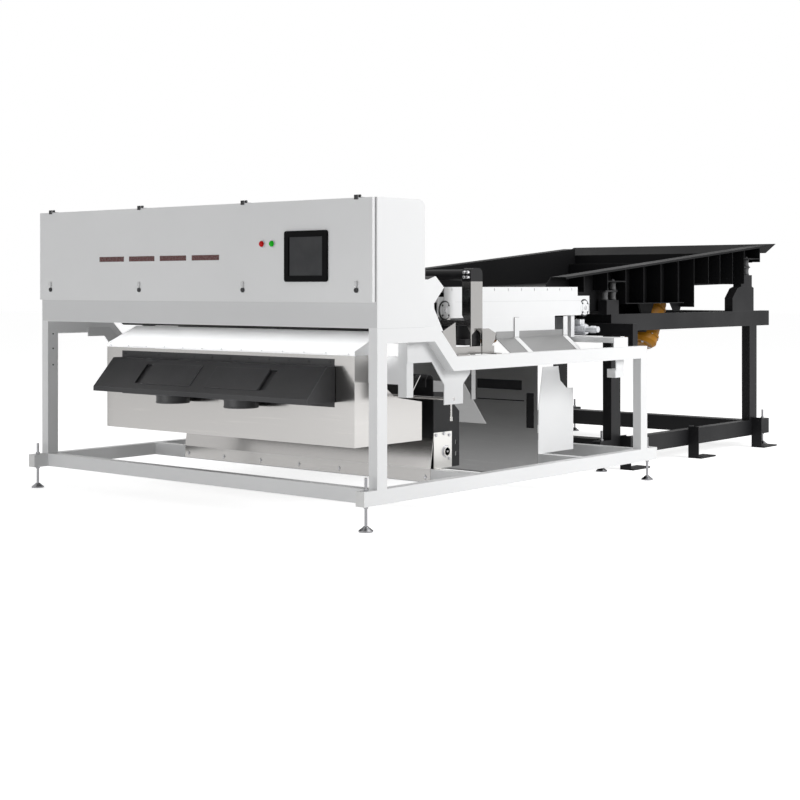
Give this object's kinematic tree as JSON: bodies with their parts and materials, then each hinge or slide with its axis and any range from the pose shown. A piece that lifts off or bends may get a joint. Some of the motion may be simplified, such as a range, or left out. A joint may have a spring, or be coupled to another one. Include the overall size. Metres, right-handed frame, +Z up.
{
  "type": "optical colour sorter",
  "caption": "Belt-type optical sorter: a vibrating feeder pan lays product on a conveyor that carries it past cameras and air ejectors into a separation box under the control cabinet.",
  "frame": {"origin": "middle of the overall footprint, at floor level", "axes": "+X to the right for someone who faces the operator screen, +Y from the operator side to the feeder's loading end, +Z up; product travels along -Y"},
  "size_m": [2.88, 5.6168, 1.779],
  "materials": {
    "white_paint": "semi-gloss powder coat",
    "grey_paint": "satin",
    "black_paint": "satin powder coat",
    "orange_paint": "gloss",
    "stainless": "polished",
    "zinc_steel": "zinc plated",
    "roller_steel": "turned",
    "black_steel": "satin",
    "rotor_iron": "machined",
    "bar_aluminium": "satin",
    "camera_metal": "anodised",
    "white_plastic": "matte",
    "black_plastic": "gloss",
    "red_plastic": "gloss",
    "stop_red": "gloss",
    "start_green": "gloss",
    "lamp_plastic": "matte",
    "screen_glass": "gloss",
    "window_glass": "clear",
    "seal_rubber": "matte",
    "belt_rubber": "matte",
    "spring_rubber": "matte"
  },
  "bodies": {
    "machine": {"right_side_frame": "white_paint", "left_side_frame": "white_paint", "cross_rails": "white_paint", "rail_end_caps": "white_plastic", "levelling_feet": "zinc_steel", "cabinet_shell": "white_paint", "cabinet_sill": "grey_paint", "door_seal": "seal_rubber", "electronics_panel": "zinc_steel", "hinge_leaves": "black_steel", "optics_end_plates": "white_paint", "optics_housing": "black_paint", "camera_modules": "camera_metal", "optics_glass": "window_glass", "lamp_bars": "lamp_plastic", "ejector_bar": "bar_aluminium", "lower_optics_box": "black_paint", "conveyor_columns": "white_paint", "lamp_beam": "black_paint", "inner_hangers": "white_paint", "separation_box": "stainless", "box_lid": "stainless", "dust_hood": "black_paint", "apron": "stainless", "chute_wall": "black_paint", "bearing_brackets": "stainless", "chute_side_plates": "black_paint", "deflector_plate": "stainless", "rear_panel": "stainless", "side_panels": "white_paint", "side_skirts": "stainless", "conveyor_covers": "white_paint", "conveyor_frame": "white_paint", "belts": "belt_rubber", "roller_bearings": "roller_steel", "gearmotor": "bar_aluminium", "feeder_right_frame": "black_paint", "feeder_left_frame": "black_paint", "feeder_cross_rails": "black_paint", "anchor_brackets": "black_paint", "front_springs": "spring_rubber", "rear_springs": "spring_rubber"},
    "door": {"cabinet_door": "white_paint", "screen_terminal": "black_plastic", "screen_panel": "screen_glass", "display_strips": "red_plastic"},
    "stop_button": {"stop_button": "stop_red"},
    "start_button": {"start_button": "start_green"},
    "latch_1": {"door_latch_1": "black_steel"},
    "latch_2": {"door_latch_2": "black_steel"},
    "latch_3": {"door_latch_3": "black_steel"},
    "latch_4": {"door_latch_4": "black_steel"},
    "head_roller": {"head_roller": "roller_steel"},
    "tail_roller": {"tail_roller": "roller_steel"},
    "motor_pulley": {"motor_pulley": "roller_steel"},
    "splitter": {"splitter_plate": "stainless"},
    "pan": {"feeder_pan": "black_paint", "vibration_motors": "orange_paint"},
    "left_rotor": {"left_rotor": "rotor_iron"},
    "right_rotor": {"right_rotor": "rotor_iron"}
  },
  "joints": [
    {"name": "door_swing", "type": "hinge", "parent": "machine", "child": "door", "pos_m": [0, -2.7134, 1.772], "axis": [-1, 0, 0], "range_deg": [0, 85]},
    {"name": "stop_press", "type": "slide", "parent": "door", "child": "stop_button", "axis": [0, 1, 0], "range_m": [0, 0.003], "stiffness_N_per_m": 900, "springref_m": -0.001},
    {"name": "start_press", "type": "slide", "parent": "door", "child": "start_button", "axis": [0, 1, 0], "range_m": [0, 0.003], "stiffness_N_per_m": 900, "springref_m": -0.001},
    {"name": "latch_1_turn", "type": "hinge", "parent": "door", "child": "latch_1", "pos_m": [-1.306, -2.7194, 1.27], "axis": [0, 1, 0], "range_deg": [0, 90]},
    {"name": "latch_2_turn", "type": "hinge", "parent": "door", "child": "latch_2", "pos_m": [-0.446, -2.7194, 1.27], "axis": [0, 1, 0], "range_deg": [0, 90]},
    {"name": "latch_3_turn", "type": "hinge", "parent": "door", "child": "latch_3", "pos_m": [0.446, -2.7194, 1.27], "axis": [0, -1, 0], "range_deg": [0, 90]},
    {"name": "latch_4_turn", "type": "hinge", "parent": "door", "child": "latch_4", "pos_m": [1.306, -2.7194, 1.27], "axis": [0, -1, 0], "range_deg": [0, 90]},
    {"name": "tail_roller_spin", "type": "hinge", "parent": "machine", "child": "tail_roller", "pos_m": [0, -0.1544, 1.148], "axis": [1, 0, 0], "continuous": true},
    {"name": "head_roller_spin", "type": "hinge", "parent": "machine", "child": "head_roller", "pos_m": [0, -1.6604, 1.148], "axis": [1, 0, 0], "continuous": true},
    {"name": "motor_pulley_spin", "type": "hinge", "parent": "machine", "child": "motor_pulley", "pos_m": [1.02, -0.2034, 1.06], "axis": [1, 0, 0], "continuous": true},
    {"name": "splitter_tilt", "type": "hinge", "parent": "machine", "child": "splitter", "pos_m": [0, -1.9714, 0.652], "axis": [1, 0, 0], "range_deg": [-12, 12]},
    {"name": "pan_shake", "type": "slide", "parent": "machine", "child": "pan", "axis": [0, -0.891, 0.454], "range_m": [-0.004, 0.004], "stiffness_N_per_m": 400000, "springref_m": 0.00487, "deforming": ["front_springs", "rear_springs"]},
    {"name": "left_rotor_spin", "type": "hinge", "parent": "pan", "child": "left_rotor", "pos_m": [-0.735, 1.1766, 1.032], "axis": [0, 0.454, 0.891], "continuous": true},
    {"name": "right_rotor_spin", "type": "hinge", "parent": "pan", "child": "right_rotor", "pos_m": [0.735, 1.1766, 1.032], "axis": [0, 0.454, 0.891], "continuous": true}
  ],
  "couplings": [
    {"joint": "head_roller_spin", "follows": "tail_roller_spin", "ratio": 1},
    {"joint": "motor_pulley_spin", "follows": "tail_roller_spin", "ratio": 2}
  ]
}
